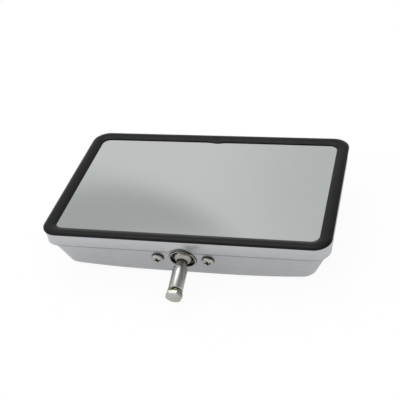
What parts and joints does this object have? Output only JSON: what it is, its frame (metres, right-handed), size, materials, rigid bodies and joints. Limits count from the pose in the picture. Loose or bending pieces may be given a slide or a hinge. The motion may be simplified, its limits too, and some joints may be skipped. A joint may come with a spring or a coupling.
{
  "type": "rectangular mirror head",
  "caption": "Rectangular mirror in a drawn stainless housing with a black rubber gasket, held by a short ball stud with a smooth post and an end bolt.",
  "frame": {"origin": "middle of the small flat on the crowned back, which the head lies on with its glass up", "axes": "+X along the long side, +Y from the ball stud's wall to the far wall, +Z out of the glass"},
  "size_m": [0.254, 0.198, 0.0492],
  "materials": {
    "polished_stainless": "satin polished",
    "black_rubber": "satin",
    "mirror_glass": "polished",
    "backing_foam": "matte foam",
    "pressed_steel": "plain pressed",
    "turned_steel": "turned",
    "zinc_steel": "zinc plated",
    "spring_steel": "oiled",
    "nylon": "natural nylon"
  },
  "bodies": {
    "mirror_head": {"housing": "polished_stainless", "rim_gasket": "black_rubber", "mirror_glass": "mirror_glass", "backing_pad": "backing_foam", "socket_bracket": "pressed_steel", "socket_ring": "turned_steel", "ball_cup": "pressed_steel", "disc_spring": "spring_steel", "clamp_plate": "pressed_steel", "clamp_screw_left": "zinc_steel", "clamp_screw_right": "zinc_steel", "screw_washer_left": "zinc_steel", "screw_washer_right": "zinc_steel", "screw_nut_left": "zinc_steel", "screw_nut_right": "zinc_steel"},
    "bush": {"seat_bush": "nylon"},
    "stud": {"ball_stud": "turned_steel", "lock_washer": "zinc_steel", "mount_bolt": "zinc_steel"}
  },
  "joints": [
    {"name": "bush_turn", "type": "hinge", "parent": "mirror_head", "child": "bush", "pos_m": [0, -0.07146, 0.02659], "axis": [0, -0.9612, -0.2759], "continuous": true},
    {"name": "stud_tilt", "type": "hinge", "parent": "bush", "child": "stud", "pos_m": [0, -0.07146, 0.02659], "axis": [1, 0, 0], "range_deg": [-30, 30]}
  ]
}
